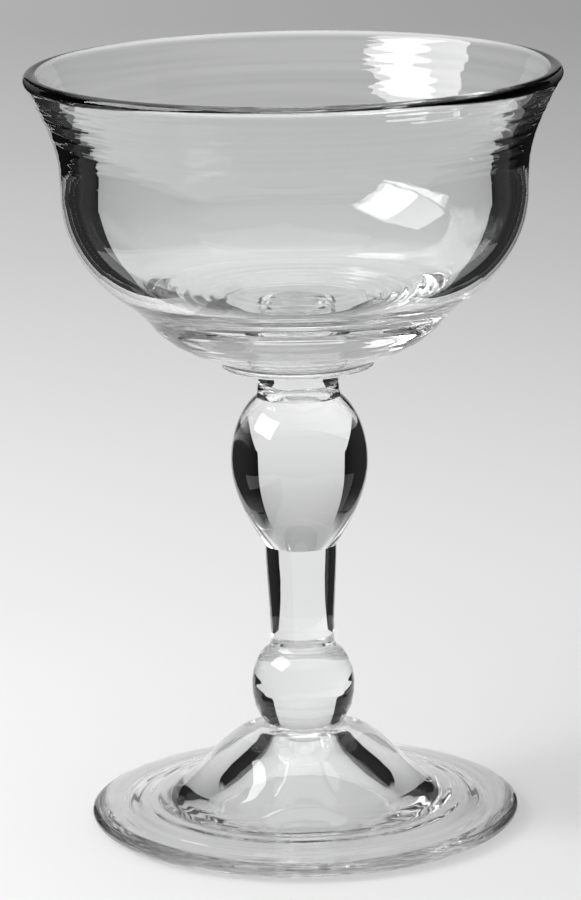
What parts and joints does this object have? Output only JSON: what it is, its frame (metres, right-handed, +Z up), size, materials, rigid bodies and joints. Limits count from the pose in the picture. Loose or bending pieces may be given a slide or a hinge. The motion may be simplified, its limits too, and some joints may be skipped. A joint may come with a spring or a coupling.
{
  "type": "sherbet glass",
  "caption": "Clear glass sherbet with a flared bell bowl on a merese, a stem of baluster knop, waist and ball knop, and a spreading hollow domed foot.",
  "frame": {"origin": "centre of the ring that the foot stands on, at table height", "axes": "+Z up along the glass's axis; the glass is round, so +X and +Y are any two directions at right angles across it"},
  "size_m": [0.0878, 0.0878, 0.127],
  "materials": {
    "clear_glass": "clear colourless glass, fire-polished, smooth and glossy"
  },
  "bodies": {
    "root": {"foot": "clear_glass", "ball_knop": "clear_glass", "waist": "clear_glass", "baluster_knop": "clear_glass", "neck": "clear_glass", "merese": "clear_glass", "bowl": "clear_glass"}
  },
  "joints": []
}
